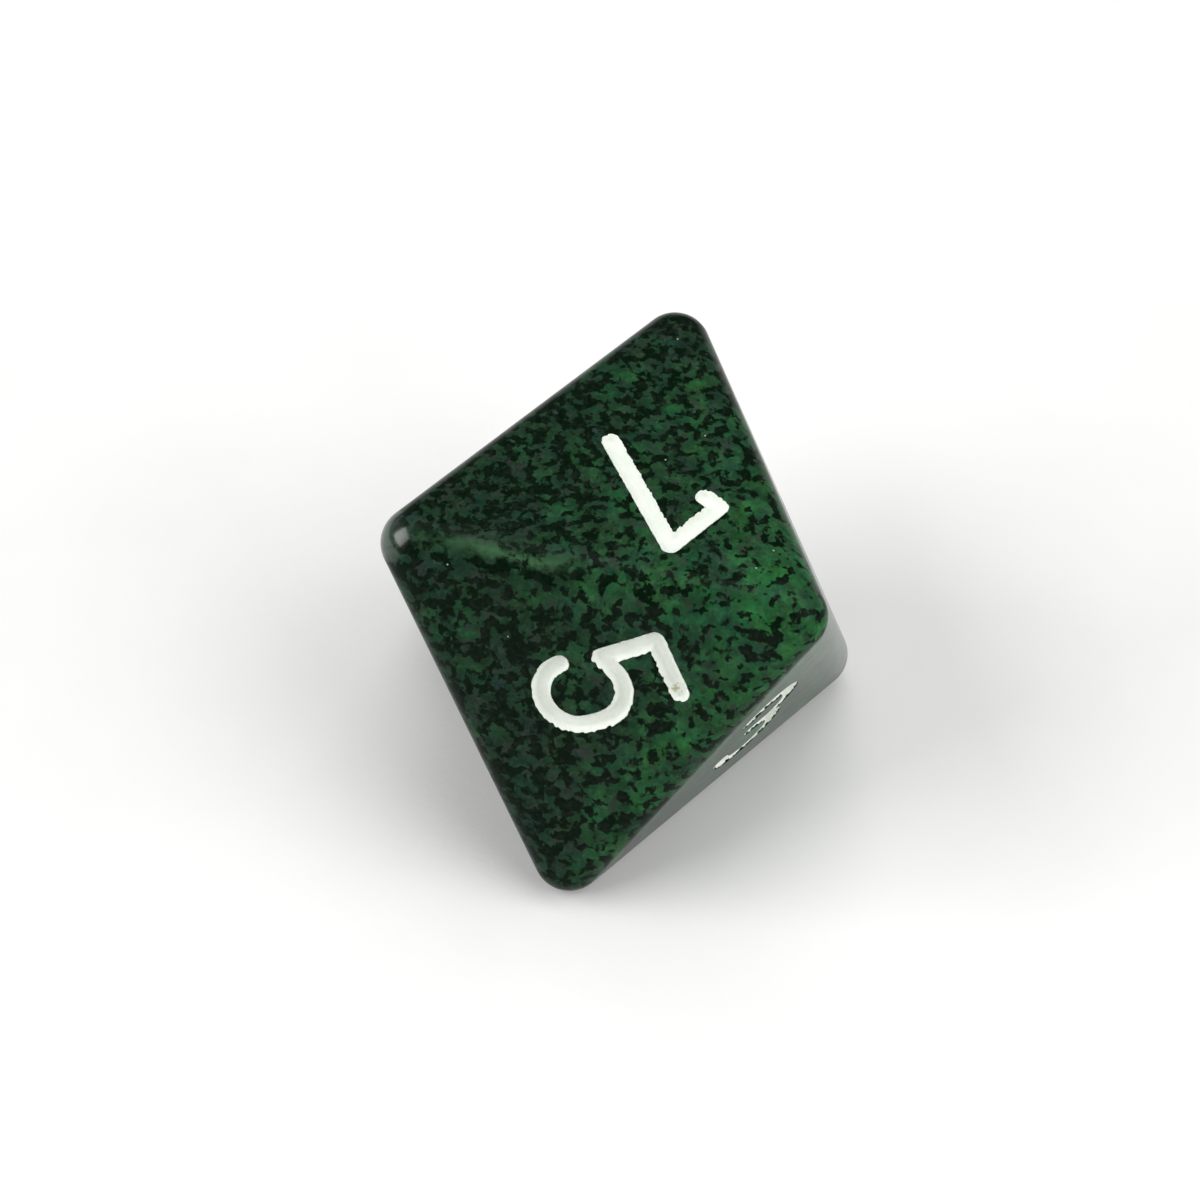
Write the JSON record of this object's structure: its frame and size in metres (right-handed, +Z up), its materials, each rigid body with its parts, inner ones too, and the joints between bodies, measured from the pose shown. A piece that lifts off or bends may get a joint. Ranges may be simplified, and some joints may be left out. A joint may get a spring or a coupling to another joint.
{
  "type": "eight-sided die",
  "caption": "Regular octahedral gaming die with rounded edges and corners, in speckled green plastic, with white numbers engraved in its faces.",
  "frame": {"origin": "centre of the face that the die lies on, the face of the 2", "axes": "+Z up out of the face of the 7, -Y towards the front, where the face of the 5 leans back, +X to the right"},
  "size_m": [0.0178, 0.02, 0.015],
  "materials": {
    "speckled_plastic": "polished, dark green with fine black speckles",
    "white_paint": "opaque white paint"
  },
  "bodies": {
    "root": {"die_body": "speckled_plastic", "numeral_1": "white_paint", "numeral_2": "white_paint", "numeral_3": "white_paint", "numeral_4": "white_paint", "numeral_5": "white_paint", "numeral_6": "white_paint", "numeral_7": "white_paint", "numeral_8": "white_paint"}
  },
  "joints": []
}
